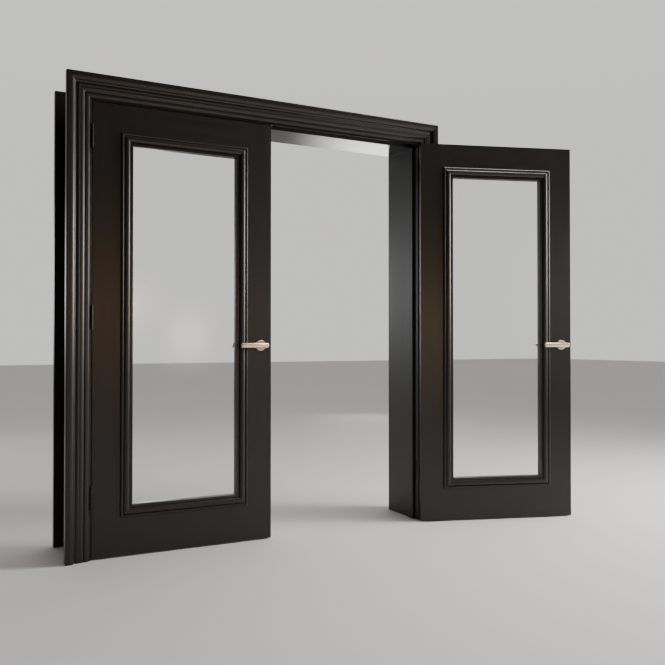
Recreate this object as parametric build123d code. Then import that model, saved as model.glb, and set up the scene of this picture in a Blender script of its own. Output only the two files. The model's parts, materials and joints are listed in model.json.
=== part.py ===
from build123d import *
import os
from math import radians, sin

# French doors: a pair of glazed leaves in a deep lining with moulded casings. Millimetres.
# Origin: floor level, front edge of the left jamb's foot, at the middle of its thickness.
# +X runs across the doorway to the right jamb, +Y through the wall, +Z up.
# The left leaf stands shut and the right leaf stands wide open towards the front.

# Leaves
leaf_w = 838.0
leaf_h = 1981.0
leaf_t = 35.0
stile_w = 140.0
top_rail_h = 140.0
bottom_rail_h = 184.0
arris_r = 1.5
tenon_t = 12.0
tenon_l = 45.0
tenon_shoulder = 25.0
right_leaf_open = 162.0

# Gaps around the leaves
floor_gap = 6.0
head_gap = 3.0
hang_gap = 3.0
meeting_gap = 3.0

# Lining and stops
lining_d = 300.0
jamb_t = 30.0
head_t = 30.0
head_housing = 10.0
stop_t = 12.0
stop_w = 37.0
stop_step_t = 6.0
stop_step_w = 31.0
stop_gap = 2.0

# Casing section, from its outer edge inward: flat, roll, cove, crest, ledge, ovolo, groove and band
casing_margin = 9.0
casing_t = 34.0
casing_edge_r = 4.0
casing_flat_w = 9.0
quirk_w = 1.5
quirk_drop = 2.2
roll_w = 23.5
roll_drop = 6.6
roll_rise = 2.8
cove_w = 9.0
cove_drop = 9.7
cove_sink = 3.2
crest_w = 15.0
crest_climb = 1.7
crest_rise = 2.4
ledge_w = 8.0
ovolo_w = 13.5
ovolo_drop = 7.3
ovolo_rise = 1.3
groove_fall_w = 1.0
groove_drop = 1.1
groove_climb_w = 1.5
groove_climb = 3.4
band_w = 16.5
band_drop = 3.8
band_rise = 1.5
band_edge_r = 2.5

# Lands on the casing's back, on the wall and on the lining's edge, with a relief between them
outer_land_w = 15.0
inner_land_w = 26.0
relief_t = 2.0

# Glass, and the section of the raised moulding that holds it, from its outer edge inward
glass_t = 4.0
glass_edge_gap = 3.0
moulding_lap = 18.0
moulding_edge_t = 5.0
bead_w = 13.5
bead_climb = 0.5
bead_rise = 6.0
vee_fall_w = 1.0
vee_drop = 1.0
vee_climb_w = 1.0
vee_climb = 5.1
torus_w = 23.0
torus_drop = 2.2
torus_rise = 4.25
torus_wall_w = 3.0
torus_wall_foot = 0.5
quirk_floor_w = 1.0
quirk_lead_w = 1.0
nosing_w = 10.5
nosing_t = 2.3
nosing_ease = 1.0

# Hinges
bottom_hinge_up = 262.0
top_hinge_down = 154.0
hinge_h = 102.0
hinge_let_in = 31.0
hinge_t = 2.6
hinge_screw_end = 11.0
hinge_screw_pair = 28.0
hinge_screw_inset = 10.0
knuckle_r = 6.0
knuckle_gap = 0.3
knuckle_clear = 0.4
knuckle_count = 5
axis_stand_off = 0.5
pin_r = 3.0
pin_head_r = 5.2
pin_head_h = 2.5
pin_head_round = 1.5
running_gap = 0.05

# Screws
screw_head_r = 4.0
screw_head_h = 2.2
screw_shank_r = 2.0
screw_l = 22.0

# Lever handles
handle_z = 926.0
backset = 57.0
rose_r = 26.0
rose_t = 9.0
rose_round = 3.0
rose_rim_w = 2.0
rose_dish = 0.8
collar_w = 3.0
collar_h = 1.5
lever_r = 11.0
lever_reach = 113.0
lever_tail = 27.0
lever_out = 50.0
lever_round = 1.5
neck_r = 8.5
neck_gap = 0.3
neck_foot = 1.0
spindle_s = 8.0
spindle_reach = 24.0
spindle_hole_r = 6.5

# Latch in the right leaf and its keep in the left leaf
faceplate_h = 57.0
faceplate_w = 25.0
faceplate_t = 3.0
faceplate_screw_end = 8.0
latch_case_h = 24.0
latch_case_w = 14.0
latch_case_d = 76.0
latch_case_gap = 0.5
bolt_h = 16.0
bolt_w = 10.0
bolt_throw = 11.0
bolt_tail = 26.0
bolt_nose = 1.5
bolt_gap = 0.3
keep_clear = 2.0
keep_depth = 15.0

# Flush bolts in the left leaf's meeting edge, and the keep for the top one
flush_plate_w = 20.0
flush_plate_t = 3.0
flush_plate_tail = 74.0
flush_screw_end = 12.0
flush_screw_pair = 28.0
flush_bolt_s = 9.0
flush_bolt_draw = 1.0
flush_bolt_chamfer = 1.0
flush_throw = 14.0
flush_inset = 3.0
flush_channel_gap = 0.5
thumb_h = 16.0
thumb_w = 10.0
thumb_sunk = 0.5
thumb_from_end = 110.0
head_keep_l = 44.0
head_keep_w = 22.0
head_keep_t = 2.5
head_keep_depth = 14.0
head_keep_clear = 1.0
head_keep_screw_end = 8.0

# How far a cut runs past the face that it opens
over = 1.0

# Places worked out from the sizes above
casing_rolls_w = casing_flat_w + quirk_w + roll_w + cove_w + crest_w + ledge_w + ovolo_w
casing_w = casing_rolls_w + groove_fall_w + groove_climb_w + band_w + band_edge_r
moulding_rolls_w = bead_w + vee_fall_w + vee_climb_w + torus_w + torus_wall_w
moulding_w = moulding_rolls_w + quirk_floor_w + quirk_lead_w + nosing_w
clear_w = 2 * leaf_w + meeting_gap + 2 * hang_gap
clear_h = floor_gap + leaf_h + head_gap
left_face = jamb_t / 2
right_face = left_face + clear_w
leaf_x0 = hang_gap
leaf_x1 = hang_gap + leaf_w
leaf_z0 = floor_gap
leaf_z1 = floor_gap + leaf_h
leaf_mid = leaf_t / 2
axis_x = hang_gap / 2
axis_y = -(knuckle_r + axis_stand_off)
stop_y = leaf_t + stop_gap
casing_edge = casing_margin + casing_w
casing_top = clear_h + casing_edge
glass_y = leaf_mid - glass_t / 2
handle_x = leaf_x1 - backset
flush_plate_h = thumb_from_end + thumb_h + flush_plate_tail
flush_bolt_x = leaf_x1 - flush_plate_t - flush_inset - flush_bolt_s / 2
head_keep_x = left_face + flush_bolt_x

FRONT = (0, -1, 0)
BACK = (0, 1, 0)


def save(name, *solids):
    """Write one named piece, or a group of like pieces, as a STEP file."""
    shape = solids[0] if len(solids) == 1 else Compound(children=list(solids))
    export_step(shape, f"parts/{name}.step")


def block(x0, x1, y0, y1, z0, z1):
    """A box between two opposite corners."""
    return Pos((x0 + x1) / 2, (y0 + y1) / 2, (z0 + z1) / 2) * Box(x1 - x0, y1 - y0, z1 - z0)


def upright(radius, x, y, z0, z1):
    """A vertical round bar."""
    return Pos(x, y, (z0 + z1) / 2) * Cylinder(radius, z1 - z0)


def at_left(shape):
    """Put a piece that was drawn from the left jamb's inner face in its place."""
    return Pos(left_face, 0, 0) * shape


def at_right(shape):
    """Mirror such a piece to the right jamb, with a right leaf's pieces shut."""
    return Pos(right_face, 0, 0) * mirror(shape, Plane.YZ)


def on_open_leaf(shape):
    """Turn a right leaf's piece about its hinge axis to where it stands open."""
    axis = Pos(right_face - axis_x, axis_y, 0)
    return axis * Rot(0, 0, right_leaf_open) * axis.inverse() * at_right(shape)


# Mouldings

def swell(start, width, climb, rise):
    """An arc of a section: it runs `width` inward, climbs by `climb` and bulges by `rise` in the middle."""
    return ThreePointArc(start, start + Vector(width / 2, climb / 2 + rise), start + Vector(width, climb))


def quarter_round(start, radius, turn):
    """A corner of a section: `turn` is +1 where it rises, and -1 where it falls."""
    near, far = radius * (1 - sin(radians(45))), radius * sin(radians(45))
    middle = Vector(near, far) if turn > 0 else Vector(far, -near)
    return ThreePointArc(start, start + middle, start + Vector(radius, turn * radius))


def casing_section():
    """The casing's section: u runs from its outer edge inward, v out from the wall."""
    corner = quarter_round(Vector(0, casing_t - casing_edge_r), casing_edge_r, 1)
    flat = Polyline(corner @ 1, (casing_flat_w, casing_t), (casing_flat_w + quirk_w, casing_t - quirk_drop))
    roll = swell(flat @ 1, roll_w, -roll_drop, roll_rise)
    cove = swell(roll @ 1, cove_w, -cove_drop, -cove_sink)
    crest = swell(cove @ 1, crest_w, crest_climb, crest_rise)
    ledge = Line(crest @ 1, crest @ 1 + Vector(ledge_w, 0))
    ovolo = swell(ledge @ 1, ovolo_w, -ovolo_drop, ovolo_rise)
    groove_floor = ovolo @ 1 + Vector(groove_fall_w, -groove_drop)
    groove = Polyline(ovolo @ 1, groove_floor, groove_floor + Vector(groove_climb_w, groove_climb))
    band = swell(groove @ 1, band_w, -band_drop, band_rise)
    edge = quarter_round(band @ 1, band_edge_r, -1)
    inner_land_u = casing_w - inner_land_w
    back = Polyline(edge @ 1, (casing_w, 0), (inner_land_u, 0), (inner_land_u, relief_t),
                    (outer_land_w, relief_t), (outer_land_w, 0), (0, 0), corner @ 0)
    return make_face([corner, flat, roll, cove, crest, ledge, ovolo, groove, band, edge, back])


def glass_moulding_section():
    """The leaf moulding's section: a lap, two rolls, a nosing and the drop to the glass."""
    bead = swell(Vector(0, moulding_edge_t), bead_w, bead_climb, bead_rise)
    vee_floor = bead @ 1 + Vector(vee_fall_w, -vee_drop)
    vee = Polyline(bead @ 1, vee_floor, vee_floor + Vector(vee_climb_w, vee_climb))
    torus = swell(vee @ 1, torus_w, -torus_drop, torus_rise)
    quirk_u = moulding_rolls_w + quirk_floor_w
    nosing = Polyline(torus @ 1, (moulding_rolls_w, torus_wall_foot), (quirk_u, torus_wall_foot),
                      (quirk_u + quirk_lead_w, nosing_t), (moulding_w - nosing_ease, nosing_t),
                      (moulding_w, nosing_t - nosing_ease))
    foot = Polyline(nosing @ 1, (moulding_w, -glass_y), (moulding_lap, -glass_y), (moulding_lap, 0),
                    (0, 0), bead @ 0)
    return make_face([bead, vee, torus, nosing, foot])


def mitred_bar(section, width, length, start, inward, outward, mitres):
    """A length of moulding from `start`, with a 45 degree mitre at the ends that `mitres` marks."""
    first, last = (width if mitre else 0 for mitre in mitres)
    ends = Polyline((0, 0), (length, 0), (length - last, width), (first, width), close=True)
    outline = make_face(ends)
    bar = extrude(Plane.YZ * section, length) & extrude(outline, width, both=True)
    along = Vector(*inward).cross(Vector(*outward))
    return Plane(origin=start, x_dir=along, z_dir=outward) * bar


def casing_set(y, outward):
    """Both casing legs and the casing head on one face of the wall, as left, right and head."""
    section = casing_section()
    left_x = left_face - casing_edge
    right_x = right_face + casing_edge
    front = outward == FRONT
    from_top, from_floor = (True, False), (False, True)
    left_start = (left_x, y, casing_top if front else 0)
    right_start = (right_x, y, 0 if front else casing_top)
    head_start = (right_x if front else left_x, y, casing_top)
    left_cuts, right_cuts = (from_top, from_floor) if front else (from_floor, from_top)
    left = mitred_bar(section, casing_w, casing_top, left_start, (1, 0, 0), outward, left_cuts)
    right = mitred_bar(section, casing_w, casing_top, right_start, (-1, 0, 0), outward, right_cuts)
    head = mitred_bar(section, casing_w, right_x - left_x, head_start, (0, 0, -1), outward, (True, True))
    return left, right, head


def glass_moulding(y, outward):
    """The four mitred lengths that frame the glass on one face of a leaf."""
    section = glass_moulding_section()
    x0 = leaf_x0 + stile_w - moulding_lap
    x1 = leaf_x1 - stile_w + moulding_lap
    z0 = leaf_z0 + bottom_rail_h - moulding_lap
    z1 = leaf_z1 - top_rail_h + moulding_lap
    front = outward == FRONT
    runs = [
        (z1 - z0, (x0, y, z1 if front else z0), (1, 0, 0)),
        (z1 - z0, (x1, y, z0 if front else z1), (-1, 0, 0)),
        (x1 - x0, (x1 if front else x0, y, z1), (0, 0, -1)),
        (x1 - x0, (x0 if front else x1, y, z0), (0, 0, 1)),
    ]
    return [mitred_bar(section, moulding_w, length, start, inward, outward, (True, True))
            for length, start, inward in runs]


# Screws, drawn with the head's face on the origin and the point along -Z

def screw(grow=0.0):
    """A countersunk wood screw, or with `grow` the hole that it needs."""
    head = screw_head_r + grow
    shank = screw_shank_r + grow
    end = -screw_l - grow
    half = Polyline((0, 0), (head, 0), (shank, -screw_head_h), (shank, end), (0, end), close=True)
    return revolve(Plane.XZ * make_face(half), Axis.Z)


def screw_at(place, direction, grow=0.0):
    """A screw with its head at `place`, driven along `direction`."""
    return Plane(origin=place, z_dir=-Vector(*direction)) * screw(grow)


def bored(shape, holes):
    """The shape with every one of the holes cut from it."""
    for hole in holes:
        shape -= hole
    return shape


# Hinges, drawn from the jamb's inner face

def hinge_levels():
    """Each hinge's name with the height of its middle above the floor."""
    low, high = leaf_z0 + bottom_hinge_up, leaf_z1 - top_hinge_down
    return [("bottom", low), ("middle", (low + high) / 2), ("top", high)]


def hinge_flap(z, x_face, x_back, first_knuckle):
    """One flap of a butt hinge, with every second knuckle from `first_knuckle` upward."""
    pitch = hinge_h / knuckle_count
    low, high = z - hinge_h / 2, z + hinge_h / 2
    flap = block(min(x_face, x_back), max(x_face, x_back), axis_y / 2, hinge_let_in, low, high)
    for place in range(first_knuckle, knuckle_count, 2):
        flap += upright(knuckle_r, axis_x, axis_y, low + place * pitch, low + (place + 1) * pitch)
    for place in range(1 - first_knuckle, knuckle_count, 2):
        z0, z1 = low + place * pitch - knuckle_gap, low + (place + 1) * pitch + knuckle_gap
        flap -= upright(knuckle_r + knuckle_clear, axis_x, axis_y, z0, z1)
    flap -= upright(pin_r + running_gap, axis_x, axis_y, low - over, high + over)
    return bored(flap, hinge_screws(z, x_face, x_back, running_gap))


def hinge_screws(z, x_face, x_back, grow=0.0):
    """The four screws of one flap, driven away from the gap."""
    direction = (1 if x_back > x_face else -1, 0, 0)
    outer, inner = hinge_h / 2 - hinge_screw_end, hinge_screw_pair / 2
    near, far = hinge_screw_inset, hinge_let_in - hinge_screw_inset
    places = [(near, -outer), (far, -inner), (far, inner), (near, outer)]
    return [screw_at((x_face, y, z + dz), direction, grow) for y, dz in places]


def frame_flap(z):
    return hinge_flap(z, 0, -hinge_t, 0)


def leaf_flap(z):
    return hinge_flap(z, leaf_x0, leaf_x0 + hinge_t, 1)


def flap_bed(z, x0, x1):
    """The shallow bed that a hinge flap is let into."""
    return block(x0, x1, -over, hinge_let_in, z - hinge_h / 2, z + hinge_h / 2)


def hinge_pin(z):
    """A hinge pin with its button head above the top knuckle."""
    low, high = z - hinge_h / 2, z + hinge_h / 2
    head = upright(pin_head_r, axis_x, axis_y, high, high + pin_head_h)
    head = fillet(head.edges().sort_by(Axis.Z)[-1], pin_head_round)
    return upright(pin_r, axis_x, axis_y, low, high) + head


# Lining and stops; the jamb and the side stop are drawn from the jamb's inner face

def jamb():
    """One jamb: its top stands in the head's housing, and the hinge flaps are let into it."""
    piece = block(-jamb_t, 0, 0, lining_d, 0, clear_h + head_housing)
    piece = fillet(piece.edges().filter_by(Axis.Z).group_by(Axis.X)[-1], arris_r)
    for name, z in hinge_levels():
        piece -= flap_bed(z, -hinge_t, over)
        piece = bored(piece, hinge_screws(z, 0, -hinge_t, running_gap))
    return piece


def eased_stop(stop, along, away):
    """The stop with its long corners eased, except the one in its step and those on the lining."""
    lining_edges, step_edges, face_edges = stop.edges().filter_by(along).group_by(away)
    return fillet([*face_edges, step_edges.sort_by(Axis.Y)[-1]], arris_r)


def side_stop():
    """A planted stop with a stepped back edge, its top under the head stop."""
    top = clear_h - stop_t
    step_y = stop_y + stop_w
    stop = block(0, stop_t, stop_y, step_y, 0, top)
    stop += block(0, stop_step_t, step_y, step_y + stop_step_w, 0, top)
    return eased_stop(stop, Axis.Z, Axis.X)


def head_stop():
    """The stop across the head, over the side stops."""
    step_y = stop_y + stop_w
    stop = block(left_face, right_face, stop_y, step_y, clear_h - stop_t, clear_h)
    stop += block(left_face, right_face, step_y, step_y + stop_step_w, clear_h - stop_step_t, clear_h)
    return eased_stop(stop, Axis.X, -Axis.Z)


def lining_head():
    """The head: housed over both jambs, with a keep let in for the top bolt."""
    x0, x1 = left_face - jamb_t, right_face + jamb_t
    head = block(x0, x1, 0, lining_d, clear_h, clear_h + head_t)
    for near_x, far_x in ((x0 - over, left_face), (right_face, x1 + over)):
        head -= block(near_x, far_x, -over, lining_d + over, clear_h - over, clear_h + head_housing)
    head -= head_keep_block(head_keep_l / 2, head_keep_w / 2, clear_h - over, clear_h + head_keep_t)
    head -= head_keep_block(head_keep_slot(), head_keep_slot(), clear_h - over, clear_h + head_keep_depth)
    return bored(head, head_keep_screws(running_gap))


def head_keep_slot():
    """Half the width of the square hole that the top bolt enters."""
    return flush_bolt_s / 2 + head_keep_clear


def head_keep_block(half_l, half_w, z0, z1):
    """A block around the top bolt's axis, between two heights."""
    return block(head_keep_x - half_l, head_keep_x + half_l, leaf_mid - half_w, leaf_mid + half_w, z0, z1)


def head_keep_screws(grow=0.0):
    """The two screws of the keep in the head, driven up."""
    dx = head_keep_l / 2 - head_keep_screw_end
    return [screw_at((head_keep_x + side * dx, leaf_mid, clear_h), (0, 0, 1), grow) for side in (-1, 1)]


def head_keep():
    """The plate in the head that takes the left leaf's top bolt."""
    plate = head_keep_block(head_keep_l / 2, head_keep_w / 2, clear_h, clear_h + head_keep_t)
    plate -= head_keep_block(head_keep_slot(), head_keep_slot(), clear_h - over, clear_h + head_keep_t + over)
    return bored(plate, head_keep_screws(running_gap))


# Leaf frame, drawn from the left jamb's inner face

def tenon(x0, x1, z0, z1):
    """A rail's tenon, or the mortice for it, between two heights."""
    front, back = leaf_mid - tenon_t / 2, leaf_mid + tenon_t / 2
    return block(x0, x1, front, back, z0 + tenon_shoulder, z1 - tenon_shoulder)


def rail_levels():
    """The name, bottom and top of each rail."""
    return [("bottom", leaf_z0, leaf_z0 + bottom_rail_h), ("top", leaf_z1 - top_rail_h, leaf_z1)]


def rail(z0, z1):
    """A rail between the stiles, with a tenon at each end."""
    x0, x1 = leaf_x0 + stile_w, leaf_x1 - stile_w
    return block(x0, x1, 0, leaf_t, z0, z1) + tenon(x0 - tenon_l, x1 + tenon_l, z0, z1)


def hinge_stile():
    """The stile that the hinges are let into."""
    inner = leaf_x0 + stile_w
    stile = block(leaf_x0, inner, 0, leaf_t, leaf_z0, leaf_z1)
    stile = fillet(stile.edges().filter_by(Axis.Z).group_by(Axis.X)[0], arris_r)
    for name, z0, z1 in rail_levels():
        stile -= tenon(inner - tenon_l, inner + over, z0, z1)
    for name, z in hinge_levels():
        stile -= flap_bed(z, leaf_x0 - over, leaf_x0 + hinge_t)
        stile = bored(stile, hinge_screws(z, leaf_x0, leaf_x0 + hinge_t, running_gap))
    return stile


def lock_stile():
    """The stile at the meeting edge, with the hole for the handle's spindle."""
    inner = leaf_x1 - stile_w
    stile = block(inner, leaf_x1, 0, leaf_t, leaf_z0, leaf_z1)
    stile = fillet(stile.edges().filter_by(Axis.Z).group_by(Axis.X)[-1], arris_r)
    for name, z0, z1 in rail_levels():
        stile -= tenon(inner - over, inner + tenon_l, z0, z1)
    return stile - spindle_hole()


def spindle_hole():
    """The round hole through the leaf at the handle."""
    return handle_plane(BACK) * Cylinder(spindle_hole_r, 3 * leaf_t)


def glass():
    """The single pane, its edges held between the two mouldings."""
    inset = stile_w + glass_edge_gap
    z0 = leaf_z0 + bottom_rail_h + glass_edge_gap
    z1 = leaf_z1 - top_rail_h - glass_edge_gap
    return block(leaf_x0 + inset, leaf_x1 - inset, glass_y, glass_y + glass_t, z0, z1)


# Lever handles

def handle_plane(outward):
    """A plane on one face of the leaf at the handle, its normal out of the leaf."""
    y = 0 if outward == FRONT else leaf_t
    return Plane(origin=(handle_x, y, handle_z), x_dir=(1, 0, 0), z_dir=outward)


def rose(outward):
    """A round rose: a rounded rim, a slightly dished face and a low collar around the neck."""
    bore = neck_r + neck_gap
    collar_r = bore + collar_w
    rim_r = rose_r - rose_round
    ease = rose_round * sin(radians(45))
    dish_r, dish_t = rim_r - rose_rim_w, rose_t - rose_dish
    edge = Polyline((collar_r, dish_t), (collar_r, rose_t + collar_h), (bore, rose_t + collar_h), (bore, 0),
                    (rose_r, 0), (rose_r, rose_t - rose_round))
    rim = ThreePointArc(edge @ 1, (rim_r + ease, rose_t - rose_round + ease), (rim_r, rose_t))
    face = Polyline(rim @ 1, (dish_r, rose_t), (dish_r - rose_dish, dish_t), (collar_r, dish_t))
    return handle_plane(outward) * revolve(Plane.XZ * make_face([edge, rim, face]), Axis.Z)


def lever(outward):
    """A round bar across a round neck; the long end reaches towards the hinges."""
    bar = Cylinder(lever_r, lever_reach + lever_tail, rotation=(0, 90, 0))
    bar = fillet(bar.edges().filter_by(GeomType.CIRCLE), lever_round)
    bar = Pos((lever_tail - lever_reach) / 2, 0, lever_out) * bar
    neck_l = lever_out - neck_foot
    neck = Pos(0, 0, neck_foot + neck_l / 2) * Cylinder(neck_r, neck_l)
    socket_s = spindle_s + 2 * running_gap
    socket = Box(socket_s, socket_s, 2 * spindle_reach)
    return handle_plane(outward) * (bar + neck - socket)


def spindle():
    """The square bar that joins the two levers through the leaf."""
    half = spindle_s / 2
    reach = spindle_reach - running_gap
    return block(handle_x - half, handle_x + half, -reach, leaf_t + reach, handle_z - half, handle_z + half)


# Latch and its keep

def edge_block(x0, x1, width, height, grow=0.0):
    """A block at the handle's height in the meeting edge, centred on the leaf's thickness."""
    half_w, half_h = width / 2 + grow, height / 2 + grow
    return block(x0, x1, leaf_mid - half_w, leaf_mid + half_w, handle_z - half_h, handle_z + half_h)


def faceplate():
    """The plate of the latch, or of the keep, flush in a meeting edge."""
    return edge_block(leaf_x1 - faceplate_t, leaf_x1, faceplate_w, faceplate_h)


def faceplate_bed():
    """The bed that such a plate is let into."""
    return edge_block(leaf_x1 - faceplate_t, leaf_x1 + over, faceplate_w, faceplate_h)


def faceplate_screws(grow=0.0):
    """The two screws of the latch's or the keep's plate."""
    dz = faceplate_h / 2 - faceplate_screw_end
    return [screw_at((leaf_x1, leaf_mid, handle_z + side * dz), (-1, 0, 0), grow) for side in (-1, 1)]


def latch_case():
    """The latch's case and faceplate, open for the bolt and the spindle."""
    case = edge_block(leaf_x1 - latch_case_d, leaf_x1 - faceplate_t, latch_case_w, latch_case_h)
    case += faceplate()
    case -= edge_block(leaf_x1 - bolt_tail - bolt_throw - over, leaf_x1 + over, bolt_w, bolt_h, bolt_gap)
    return bored(case - spindle_hole(), faceplate_screws(running_gap))


def latch_bolt():
    """The sprung bolt: its nose is bevelled on the side that meets the keep first."""
    tail, tip = leaf_x1 - bolt_tail, leaf_x1 + bolt_throw
    flat_side, bevel_side = leaf_mid - bolt_w / 2, leaf_mid + bolt_w / 2
    outline = Polyline((tail, flat_side), (tip, flat_side), (tip, flat_side + bolt_nose),
                       (leaf_x1 + bolt_gap, bevel_side), (tail, bevel_side), close=True)
    return Pos(0, 0, handle_z - bolt_h / 2) * extrude(make_face(outline), bolt_h)


def latch_mortice():
    """What the right leaf's lock stile loses for the latch and its screws."""
    end = leaf_x1 - latch_case_d - latch_case_gap
    cut = edge_block(end, leaf_x1, latch_case_w, latch_case_h, latch_case_gap)
    return [cut, faceplate_bed(), *faceplate_screws(running_gap)]


def meeting_keep():
    """The keep in the left leaf's edge, with a slot for the latch bolt."""
    keep = faceplate() - edge_block(leaf_x1 - faceplate_t - over, leaf_x1 + over, bolt_w, bolt_h, keep_clear)
    return bored(keep, faceplate_screws(running_gap))


def keep_recess():
    """What the left leaf's lock stile loses for the keep, the bolt and the screws."""
    pocket = edge_block(leaf_x1 - keep_depth, leaf_x1, bolt_w, bolt_h, keep_clear)
    return [pocket, faceplate_bed(), *faceplate_screws(running_gap)]


# Flush bolts: `end` is the height of the leaf's end, and `way` is +1 at the top and -1 at the foot

def flush_block(x0, x1, width, end, way, near, far):
    """A block in the meeting edge, `near` and `far` measured inward from the leaf's end."""
    z0, z1 = sorted((end - way * near, end - way * far))
    return block(x0, x1, leaf_mid - width / 2, leaf_mid + width / 2, z0, z1)


def flush_screws(end, way, grow=0.0):
    """The two screws of a flush bolt's plate, clear of the bolt behind it."""
    last = flush_plate_h - flush_screw_end
    levels = [end - way * last, end - way * (last - flush_screw_pair)]
    return [screw_at((leaf_x1, leaf_mid, z), (-1, 0, 0), grow) for z in levels]


def flush_plate(end, way):
    """The long plate of a flush bolt, with a slot for its thumb piece."""
    x0 = leaf_x1 - flush_plate_t
    near, far = thumb_from_end - flush_throw - bolt_gap, thumb_from_end + thumb_h + bolt_gap
    plate = flush_block(x0, leaf_x1, flush_plate_w, end, way, 0, flush_plate_h)
    plate -= flush_block(x0 - over, leaf_x1 + over, thumb_w + 2 * bolt_gap, end, way, near, far)
    return bored(plate, flush_screws(end, way, running_gap))


def flush_bolt(end, way):
    """The sliding bolt with its thumb piece, drawn back inside the leaf."""
    half = flush_bolt_s / 2
    far = thumb_from_end + thumb_h
    bolt = flush_block(flush_bolt_x - half, flush_bolt_x + half, flush_bolt_s, end, way, flush_bolt_draw, far)
    tip = bolt.faces().sort_by(Axis.Z)[-1 if way > 0 else 0]
    bolt = chamfer(tip.edges(), flush_bolt_chamfer)
    return bolt + flush_block(flush_bolt_x, leaf_x1 - thumb_sunk, thumb_w, end, way, thumb_from_end, far)


def flush_channel(end, way):
    """What the left leaf's lock stile loses for one flush bolt."""
    half = flush_bolt_s / 2 + flush_channel_gap
    far = thumb_from_end + thumb_h + over
    bed = flush_block(leaf_x1 - flush_plate_t, leaf_x1 + over, flush_plate_w, end, way, -over, flush_plate_h)
    channel = flush_block(flush_bolt_x - half, leaf_x1, 2 * half, end, way, -over, far)
    thumb_space = thumb_w + 2 * flush_channel_gap
    thumb_near = thumb_from_end - flush_throw - over
    thumb_bed = flush_block(flush_bolt_x, leaf_x1, thumb_space, end, way, thumb_near, far)
    return [bed, channel, thumb_bed, *flush_screws(end, way, running_gap)]


# Assembly

os.makedirs("parts", exist_ok=True)

save("left_jamb", at_left(jamb()))
save("right_jamb", at_right(jamb()))
save("lining_head", lining_head())
save("left_stop", at_left(side_stop()))
save("right_stop", at_right(side_stop()))
save("head_stop", head_stop())
save("head_bolt_keep", head_keep())

for face, y, outward in (("front", 0, FRONT), ("back", lining_d, BACK)):
    for place, casing in zip(("left", "right", "head"), casing_set(y, outward)):
        save(f"{face}_casing_{place}", casing)

pins = []
frame_screws = head_keep_screws()
for side, place in (("left", at_left), ("right", at_right)):
    for name, z in hinge_levels():
        save(f"{side}_{name}_frame_hinge", place(frame_flap(z)))
        pins.append(place(hinge_pin(z)))
        frame_screws += [place(one) for one in hinge_screws(z, 0, -hinge_t)]
save("hinge_pins", *pins)
save("frame_screws", *frame_screws)

for side, place in (("left", at_left), ("right", on_open_leaf)):
    leaf_screws = faceplate_screws()
    stile = lock_stile()
    if side == "left":
        stile = bored(stile, keep_recess())
        save("left_meeting_keep", place(meeting_keep()))
        for name, end, way in (("top", leaf_z1, 1), ("bottom", leaf_z0, -1)):
            stile = bored(stile, flush_channel(end, way))
            leaf_screws += flush_screws(end, way)
            save(f"left_{name}_bolt_plate", place(flush_plate(end, way)))
            save(f"left_{name}_bolt", place(flush_bolt(end, way)))
    else:
        stile = bored(stile, latch_mortice())
        save("right_latch_case", place(latch_case()))
        save("right_latch_bolt", place(latch_bolt()))
    save(f"{side}_lock_stile", place(stile))
    save(f"{side}_hinge_stile", place(hinge_stile()))
    for name, z0, z1 in rail_levels():
        save(f"{side}_{name}_rail", place(rail(z0, z1)))
    save(f"{side}_glass", place(glass()))
    for face, y, outward in (("front", 0, FRONT), ("back", leaf_t, BACK)):
        save(f"{side}_{face}_moulding", *[place(bar) for bar in glass_moulding(y, outward)])
        save(f"{side}_{face}_rose", place(rose(outward)))
        save(f"{side}_{face}_lever", place(lever(outward)))
    save(f"{side}_spindle", place(spindle()))
    for name, z in hinge_levels():
        save(f"{side}_{name}_leaf_hinge", place(leaf_flap(z)))
        leaf_screws += hinge_screws(z, leaf_x0, leaf_x0 + hinge_t)
    save(f"{side}_leaf_screws", *[place(one) for one in leaf_screws])
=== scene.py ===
import bmesh
import bpy
import json
from math import cos, pi, radians, sin
from mathutils import Matrix, Vector


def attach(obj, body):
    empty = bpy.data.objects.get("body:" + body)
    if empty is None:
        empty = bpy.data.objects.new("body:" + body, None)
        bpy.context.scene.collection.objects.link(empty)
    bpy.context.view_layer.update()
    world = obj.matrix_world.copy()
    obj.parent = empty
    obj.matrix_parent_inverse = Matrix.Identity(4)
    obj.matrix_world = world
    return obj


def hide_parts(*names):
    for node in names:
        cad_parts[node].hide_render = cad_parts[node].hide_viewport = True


# A pair of glazed french doors in their lining: near-black satin paint, clear panes, rose gold levers.
# Everything is in metres, in the model's own frame.

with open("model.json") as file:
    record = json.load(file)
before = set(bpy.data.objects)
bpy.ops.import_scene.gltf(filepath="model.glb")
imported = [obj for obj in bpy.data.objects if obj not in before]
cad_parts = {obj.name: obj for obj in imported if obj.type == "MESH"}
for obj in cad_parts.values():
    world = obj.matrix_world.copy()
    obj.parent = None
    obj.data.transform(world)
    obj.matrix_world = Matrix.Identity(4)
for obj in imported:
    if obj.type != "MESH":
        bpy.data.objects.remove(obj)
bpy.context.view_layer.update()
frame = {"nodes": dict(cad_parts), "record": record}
nodes = frame["nodes"]

# Camera: where it stands, its turn and tilt in degrees, and its lens in millimetres
camera_place = (-0.6266, -3.4947, 0.9451)
camera_yaw = 27.448
camera_pitch = 0.642
camera_lens = 42.607
sensor_w = 36.0
clip_end = 200.0

# Floor
floor_size = 60.0
floor_color = (0.765, 0.755, 0.76)
floor_shade = 0.96
floor_patches = 1.5
floor_roughness = 0.8
floor_specular = 0.1

# Sky: its colours, and the share of its strength at the left and above the rest overhead
sky_front = (0.175, 0.158, 0.135)
sky_back = (0.86, 0.847, 0.83)
sky_side = 0.36
sky_above = 0.3
sky_turn_y = (-0.7, 0.5)
sky_turn_x = (-0.14, 0.06)
sky_turn_z = (0.2, 0.8)

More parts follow.
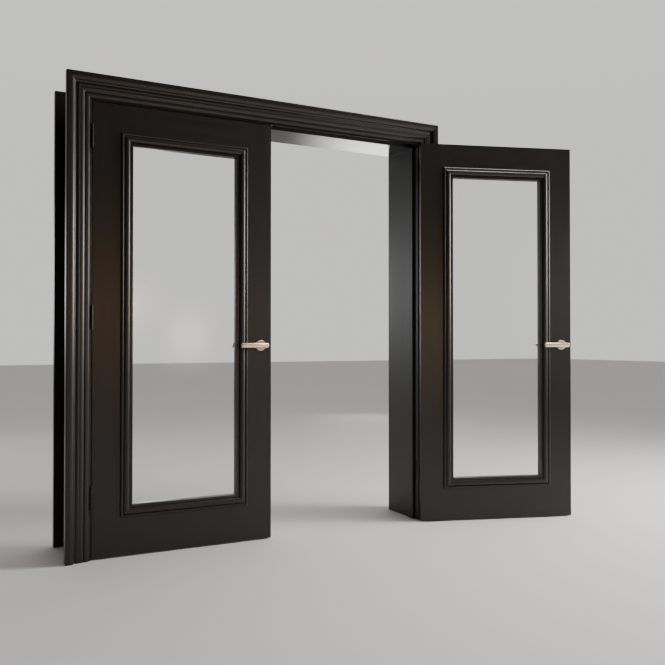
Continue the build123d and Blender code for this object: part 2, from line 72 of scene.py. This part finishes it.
# Lights: name, place, point that it faces, size, power in watts, colour, and whether it lights matt surfaces
lights = (
    ("window_light", (5.2, -1.6, 1.9), (0.8, 0.0, 1.1), (2.6, 2.4), 198.0, (1.0, 0.97, 0.93), True),
    ("room_light", (-1.3, 4.8, 1.55), (1.2, 0.2, 1.2), (1.6, 2.0), 15.2, (1.0, 0.99, 1.0), True),
    ("ceiling_light", (2.7, -0.7, 3.6), (2.7, -0.69, 0.0), (2.4, 1.0), 70.0, (1.0, 0.99, 0.98), True),
    ("front_light", (3.1, -3.4, 1.35), (2.2, -0.1, 0.95), (1.8, 1.7), 5.0, (1.0, 0.98, 0.99), True),
    ("warm_light", (1.1, -4.3, 1.3), (0.9, 0.0, 1.0), (1.0, 0.85), 6.5, (1.0, 0.45, 0.08), True),
    ("warm_light_right", (1.5, -3.4, 1.0), (1.8, 0.0, 1.0), (0.7, 0.8), 3.8, (1.0, 0.66, 0.42), True),
    ("glint_light", (4.7, 5.5, 0.55), (1.3, 0.1, 1.9), (2.4, 1.3), 30.0, (1.0, 0.99, 0.97), False),
    ("edge_light", (1.2, 3.6, 1.45), (1.69, 0.0, 1.1), (0.5, 2.4), 12.0, (1.0, 0.99, 0.97), False),
)
panel_half = 0.5
panel_peak = 2.0

# Paint: its colours, its unevenness in features to the metre, and the real heights of its relief
paint_dark = (0.0053, 0.0047, 0.0046)
paint_light = (0.0076, 0.0068, 0.0067)
paint_patches = 2.3
stipple_scale = 650.0
stipple_height = 0.00006
stroke_height = 0.00005
upright_strokes = (60.0, 60.0, 1.2)
level_strokes = (1.2, 60.0, 60.0)

# Metal
metal_patches = 35.0
brush_height = 0.000012
bar_brush = (900.0, 40.0, 40.0)
ring_brush = (60.0, 60.0, 900.0)
bolt_brush = (60.0, 60.0, 700.0)

# Glass
glass_ior = 1.5
glass_dark = (0.975, 0.99, 0.985)
glass_light = (0.985, 0.995, 0.992)
glass_roughness = 0.004
wipe_scale = (6.0, 6.0, 1.5)
wave_scale = 3.0
wave_height = 0.00004

# The part of a noise's range in which most of its values lie
noise_low = 0.3
noise_high = 0.7

# Leaves: thickness, the handle's place on the left leaf, the middle of the gap, and the right leaf's open angle
leaf_t = 0.035
handle_x = 0.799
handle_z = 0.926
meeting_x = 0.8575
open_angle = 162.0

# Levers: a round bar across a round neck, on each face of each leaf
bar_r = 0.0125
bar_reach = 0.110
bar_tail = 0.0195
bar_out = 0.050
bar_round = 0.0016
bar_sides = 96
round_steps = 5
neck_r = 0.0085
neck_foot = 0.001
neck_sides = 64
socket_half = 0.00425
socket_start = -0.01
socket_depth = 0.024
grub_r = 0.0013
grub_reach = 0.0105
grub_level = 0.018
grub_sides = 6
sharp_angle = 32.0


def new_material(name):
    """A material with its node tree, its shader and a coordinate in metres."""
    material = bpy.data.materials.new(name)
    material.use_nodes = True
    tree = material.node_tree
    shader = tree.nodes["Principled BSDF"]
    place = tree.nodes.new("ShaderNodeTexCoord").outputs["Object"]
    return material, tree, shader, place


def stretched(tree, place, scale):
    """The coordinate scaled differently along each axis."""
    mapping = tree.nodes.new("ShaderNodeMapping")
    mapping.inputs["Scale"].default_value = scale
    tree.links.new(place, mapping.inputs["Vector"])
    return mapping.outputs["Vector"]


def noise(tree, place, scale, detail):
    """A noise value with `scale` features to the unit of the coordinate."""
    node = tree.nodes.new("ShaderNodeTexNoise")
    node.inputs["Scale"].default_value = scale
    node.inputs["Detail"].default_value = detail
    node.inputs["Roughness"].default_value = 0.5
    tree.links.new(place, node.inputs["Vector"])
    return node.outputs["Fac"]


def mapped(tree, value, start, end, low, high, way="LINEAR"):
    """The value mapped to run from low at the start to high at the end."""
    node = tree.nodes.new("ShaderNodeMapRange")
    node.interpolation_type = way
    for name, amount in (("From Min", start), ("From Max", end), ("To Min", low), ("To Max", high)):
        node.inputs[name].default_value = amount
    tree.links.new(value, node.inputs["Value"])
    return node.outputs["Result"]


def spread(tree, value, low, high):
    """The noise value mapped from the middle of its range to between low and high."""
    return mapped(tree, value, noise_low, noise_high, low, high)


def eased(tree, value, start, end, low, high):
    """The value eased from low at the start to high at the end."""
    return mapped(tree, value, start, end, low, high, "SMOOTHSTEP")


def between(tree, value, first, second):
    """A colour that moves from the first to the second with the value."""
    node = tree.nodes.new("ShaderNodeMix")
    node.data_type = "RGBA"
    node.inputs["A"].default_value = (*first, 1.0)
    node.inputs["B"].default_value = (*second, 1.0)
    tree.links.new(value, node.inputs["Factor"])
    return node.outputs["Result"]


def bump(tree, height, distance, under=None):
    """A bump of that real height, laid over another one."""
    node = tree.nodes.new("ShaderNodeBump")
    node.inputs["Distance"].default_value = distance
    node.inputs["Strength"].default_value = 1.0
    tree.links.new(height, node.inputs["Height"])
    if under:
        tree.links.new(under, node.inputs["Normal"])
    return node.outputs["Normal"]


def satin_paint(name, along, low, high):
    """Near-black satin paint: an even film with a faint roller stipple and the brush's long strokes."""
    material, tree, shader, place = new_material(name)
    patches = noise(tree, place, paint_patches, 2.0)
    tree.links.new(between(tree, patches, paint_dark, paint_light), shader.inputs["Base Color"])
    strokes = noise(tree, stretched(tree, place, along), 1.0, 4.0)
    tree.links.new(spread(tree, strokes, low, high), shader.inputs["Roughness"])
    fine = bump(tree, noise(tree, place, stipple_scale, 2.0), stipple_height)
    tree.links.new(bump(tree, strokes, stroke_height, fine), shader.inputs["Normal"])
    return material


def satin_metal(name, dark, light, low, high, along):
    """Satin metal with fine brushed lines and slow changes of tone."""
    material, tree, shader, place = new_material(name)
    shader.inputs["Metallic"].default_value = 1.0
    tone = noise(tree, place, metal_patches, 3.0)
    tree.links.new(between(tree, tone, dark, light), shader.inputs["Base Color"])
    lines = noise(tree, stretched(tree, place, along), 1.0, 3.0)
    tree.links.new(spread(tree, lines, low, high), shader.inputs["Roughness"])
    tree.links.new(bump(tree, lines, brush_height), shader.inputs["Normal"])
    return material


def clear_glass(name):
    """Clear float glass: barely green, with a slow waviness and the trace of a wipe."""
    material, tree, shader, place = new_material(name)
    shader.inputs["Transmission Weight"].default_value = 1.0
    shader.inputs["IOR"].default_value = glass_ior
    wipe = noise(tree, stretched(tree, place, wipe_scale), 1.0, 3.0)
    tree.links.new(between(tree, wipe, glass_dark, glass_light), shader.inputs["Base Color"])
    tree.links.new(spread(tree, wipe, 0.0, glass_roughness), shader.inputs["Roughness"])
    wave = noise(tree, place, wave_scale, 1.0)
    tree.links.new(bump(tree, wave, wave_height), shader.inputs["Normal"])
    return material


# Materials: the last two numbers of a paint, and the two before a metal's brushing, are its range of roughness
leaf_paint_upright = satin_paint("leaf_paint_upright", upright_strokes, 0.30, 0.37)
leaf_paint_level = satin_paint("leaf_paint_level", level_strokes, 0.30, 0.37)
trim_paint_upright = satin_paint("trim_paint_upright", upright_strokes, 0.28, 0.36)
trim_paint_level = satin_paint("trim_paint_level", level_strokes, 0.28, 0.36)
lining_paint = satin_paint("lining_paint", upright_strokes, 0.34, 0.42)
head_paint = satin_paint("head_paint", level_strokes, 0.16, 0.22)
lever_metal = satin_metal("lever_metal", (0.90, 0.71, 0.535), (0.97, 0.77, 0.585), 0.24, 0.34, bar_brush)
rose_metal = satin_metal("rose_metal", (0.58, 0.44, 0.325), (0.66, 0.50, 0.375), 0.28, 0.38, ring_brush)
hinge_metal = satin_metal("hinge_metal", (0.034, 0.032, 0.030), (0.050, 0.047, 0.044), 0.26, 0.36, ring_brush)
bolt_metal = satin_metal("bolt_metal", (0.30, 0.28, 0.26), (0.38, 0.36, 0.33), 0.26, 0.38, bolt_brush)
pane_glass = clear_glass("pane_glass")


def material_of(node):
    """The finish of a CAD node, by what it is."""
    if node.endswith("glass"):
        return pane_glass
    if node.endswith("rose"):
        return rose_metal
    if node.endswith("lever"):
        return lever_metal
    if node.endswith(("_hinge", "screws", "pins")):
        return hinge_metal
    if node.endswith(("bolt", "plate", "keep", "case", "spindle")):
        return bolt_metal
    if node.endswith("rail"):
        return leaf_paint_level
    if node.endswith("stile"):
        return leaf_paint_upright
    if node.endswith("casing_head"):
        return trim_paint_level
    if node.endswith("moulding") or "casing" in node:
        return trim_paint_upright
    if node in ("lining_head", "head_stop"):
        return head_paint
    return lining_paint


for name, node in nodes.items():
    node.data.materials.clear()
    node.data.materials.append(material_of(name))


# The levers, which the scene shapes itself

def face_outwards(work):
    """Turn every face of the closed shape outwards."""
    bmesh.ops.recalc_face_normals(work, faces=work.faces)


def smooth(mesh):
    """Shade the mesh smooth apart from its sharp edges."""
    mesh.shade_smooth()
    mesh.set_sharp_from_angle(angle=radians(sharp_angle))


def new_piece(name, work):
    """A piece of lever metal from a finished bmesh."""
    mesh = bpy.data.meshes.new(name)
    face_outwards(work)
    work.to_mesh(mesh)
    work.free()
    smooth(mesh)
    mesh.materials.append(lever_metal)
    piece = bpy.data.objects.new(name, mesh)
    bpy.context.scene.collection.objects.link(piece)
    return piece


def combine(piece, tool, way):
    """Join the tool to the piece, or take it away, and apply the result."""
    change = piece.modifiers.new(way, "BOOLEAN")
    change.operation = way
    change.solver = "EXACT"
    change.object = tool
    bpy.context.view_layer.update()
    done = bpy.data.meshes.new_from_object(piece.evaluated_get(bpy.context.evaluated_depsgraph_get()))
    piece.modifiers.clear()
    old = piece.data
    piece.data = done
    bpy.data.meshes.remove(old)
    bpy.data.objects.remove(tool)


def turned(profile, count):
    """A closed solid of revolution about x from (x, radius) points; its ends are flat faces."""
    work = bmesh.new()
    rings = []
    for x, radius in profile:
        turns = [2 * pi * i / count for i in range(count)]
        rings.append([work.verts.new((x, radius * cos(turn), radius * sin(turn))) for turn in turns])
    for first, second in zip(rings, rings[1:]):
        for i in range(count):
            k = (i + 1) % count
            work.faces.new((first[i], first[k], second[k], second[i]))
    work.faces.new(rings[0])
    work.faces.new(rings[-1])
    return work


def rounded_bar(start, end, radius, edge):
    """The profile of a bar along x with rounded ends."""
    turns = [pi / 2 * i / round_steps for i in range(round_steps + 1)]
    head = [(start + edge * (1 - cos(turn)), radius - edge * (1 - sin(turn))) for turn in turns]
    return head + [(start + end - x, r) for x, r in reversed(head)]


def square_bar(half, low, high):
    """A square bar whose length lies along z."""
    work = bmesh.new()
    bmesh.ops.create_cube(work, size=1.0)
    for vertex in work.verts:
        x, y, z = vertex.co
        vertex.co = (x * 2 * half, y * 2 * half, (low + high) / 2 + z * (high - low))
    return work


def lever_piece(name):
    """A lever as it stands on a handle: z runs out of the leaf and x away from the hinges."""
    bar = new_piece(name, turned(rounded_bar(-bar_reach, bar_tail, bar_r, bar_round), bar_sides))
    bar.data.transform(Matrix.Translation((0, 0, bar_out)))
    neck = new_piece("neck", turned([(neck_foot, neck_r), (bar_out, neck_r)], neck_sides))
    neck.data.transform(Matrix.Rotation(radians(-90), 4, "Y"))
    combine(bar, neck, "UNION")
    combine(bar, new_piece("socket", square_bar(socket_half, socket_start, socket_depth)), "DIFFERENCE")
    grub = new_piece("grub", turned([(0.0, grub_r), (grub_reach, grub_r)], grub_sides))
    grub.data.transform(Matrix.Translation((0, 0, grub_level)) @ Matrix.Rotation(radians(-90), 4, "Z"))
    combine(bar, grub, "DIFFERENCE")
    smooth(bar.data)
    return bar


def on_leaf(side, face):
    """Where a handle stands: on the left leaf, or on the right one, which is mirrored and stands open."""
    level = 0.0 if face == "front" else leaf_t
    out = -1.0 if face == "front" else 1.0
    spot = Matrix(((1, 0, 0, handle_x), (0, 0, out, level), (0, 1, 0, handle_z), (0, 0, 0, 1)))
    if side == "left":
        return spot
    mirror = Matrix(((-1, 0, 0, 2 * meeting_x), (0, 1, 0, 0), (0, 0, 1, 0), (0, 0, 0, 1)))
    axis = Matrix.Translation((right_axis[0], right_axis[1], 0))
    return axis @ Matrix.Rotation(radians(open_angle), 4, "Z") @ axis.inverted() @ mirror @ spot


joints = {joint["name"]: joint for joint in frame["record"]["behaviour"]["joints"]}
right_axis = joints["right_leaf_hinge"]["pos_m"]
for side in ("left", "right"):
    for face in ("front", "back"):
        node = f"{side}_{face}_lever"
        lever = lever_piece(f"{node}_bar")
        lever.data.transform(on_leaf(side, face))
        work = bmesh.new()
        work.from_mesh(lever.data)
        face_outwards(work)
        work.to_mesh(lever.data)
        work.free()
        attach(lever, f"{side}_lever")
        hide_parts(node)


def add_camera():
    """The camera at the place from which the photo was taken."""
    camera = bpy.data.objects.new("camera", bpy.data.cameras.new("camera"))
    bpy.context.scene.collection.objects.link(camera)
    camera.location = camera_place
    camera.rotation_euler = (radians(90 + camera_pitch), 0, radians(-camera_yaw))
    camera.data.sensor_width = sensor_w
    camera.data.lens = camera_lens
    camera.data.clip_end = clip_end
    bpy.context.scene.camera = camera


def pale_floor():
    """A wide pale floor with a faint unevenness of tone."""
    bpy.ops.mesh.primitive_plane_add(size=floor_size)
    floor = bpy.context.object
    floor.name = "floor"
    material, tree, shader, place = new_material("floor_matte")
    tone = noise(tree, place, floor_patches, 2.0)
    shaded = [floor_shade * c for c in floor_color]
    tree.links.new(between(tree, tone, floor_color, shaded), shader.inputs["Base Color"])
    shader.inputs["Roughness"].default_value = floor_roughness
    shader.inputs["Specular IOR Level"].default_value = floor_specular
    floor.data.materials.append(material)


def soft_sky():
    """A plain sky: pale at the back and overhead, darker and warmer in front, and dimmer towards the left."""
    world = bpy.data.worlds.new("sky")
    bpy.context.scene.world = world
    world.use_nodes = True
    tree = world.node_tree
    background = tree.nodes["Background"]
    place = tree.nodes.new("ShaderNodeTexCoord").outputs["Generated"]
    split = tree.nodes.new("ShaderNodeSeparateXYZ")
    tree.links.new(place, split.inputs["Vector"])
    behind = eased(tree, split.outputs["Y"], *sky_turn_y, 0.0, 1.0)
    tree.links.new(between(tree, behind, sky_front, sky_back), background.inputs["Color"])
    strength = tree.nodes.new("ShaderNodeMath")
    strength.operation = "MULTIPLY"
    tree.links.new(eased(tree, split.outputs["X"], *sky_turn_x, sky_side, 1.0), strength.inputs[0])
    tree.links.new(eased(tree, split.outputs["Z"], *sky_turn_z, 1.0, 1.0 + sky_above), strength.inputs[1])
    tree.links.new(strength.outputs["Value"], background.inputs["Strength"])


def soft_edges(data):
    """Let the light fade towards the edges of its panel."""
    data.use_nodes = True
    tree = data.node_tree
    across = tree.nodes.new("ShaderNodeSeparateXYZ")
    panel = tree.nodes.new("ShaderNodeNewGeometry").outputs["Parametric"]
    tree.links.new(panel, across.inputs["Vector"])
    product = tree.nodes.new("ShaderNodeMath")
    product.operation = "MULTIPLY"
    for count, axis in enumerate(("X", "Y")):
        ramp = tree.nodes.new("ShaderNodeMath")
        ramp.operation = "PINGPONG"
        ramp.inputs[1].default_value = panel_half
        tree.links.new(across.outputs[axis], ramp.inputs[0])
        fade = eased(tree, ramp.outputs["Value"], 0.0, panel_half, 0.0, panel_peak)
        tree.links.new(fade, product.inputs[count])
    tree.links.new(product.outputs["Value"], tree.nodes["Emission"].inputs["Strength"])


def soft_light(name, place, aim, size, power, color, on_matt):
    """A large soft light that faces a point, unseen by the camera and through the panes."""
    data = bpy.data.lights.new(name, "AREA")
    data.shape = "RECTANGLE"
    data.size, data.size_y = size
    data.energy = power
    data.color = color
    soft_edges(data)
    light = bpy.data.objects.new(name, data)
    light.visible_camera = False
    light.visible_transmission = False
    light.visible_diffuse = on_matt
    bpy.context.scene.collection.objects.link(light)
    light.location = place
    light.rotation_euler = (Vector(aim) - Vector(place)).to_track_quat("-Z", "Y").to_euler()


add_camera()
pale_floor()
soft_sky()
for light in lights:
    soft_light(*light)
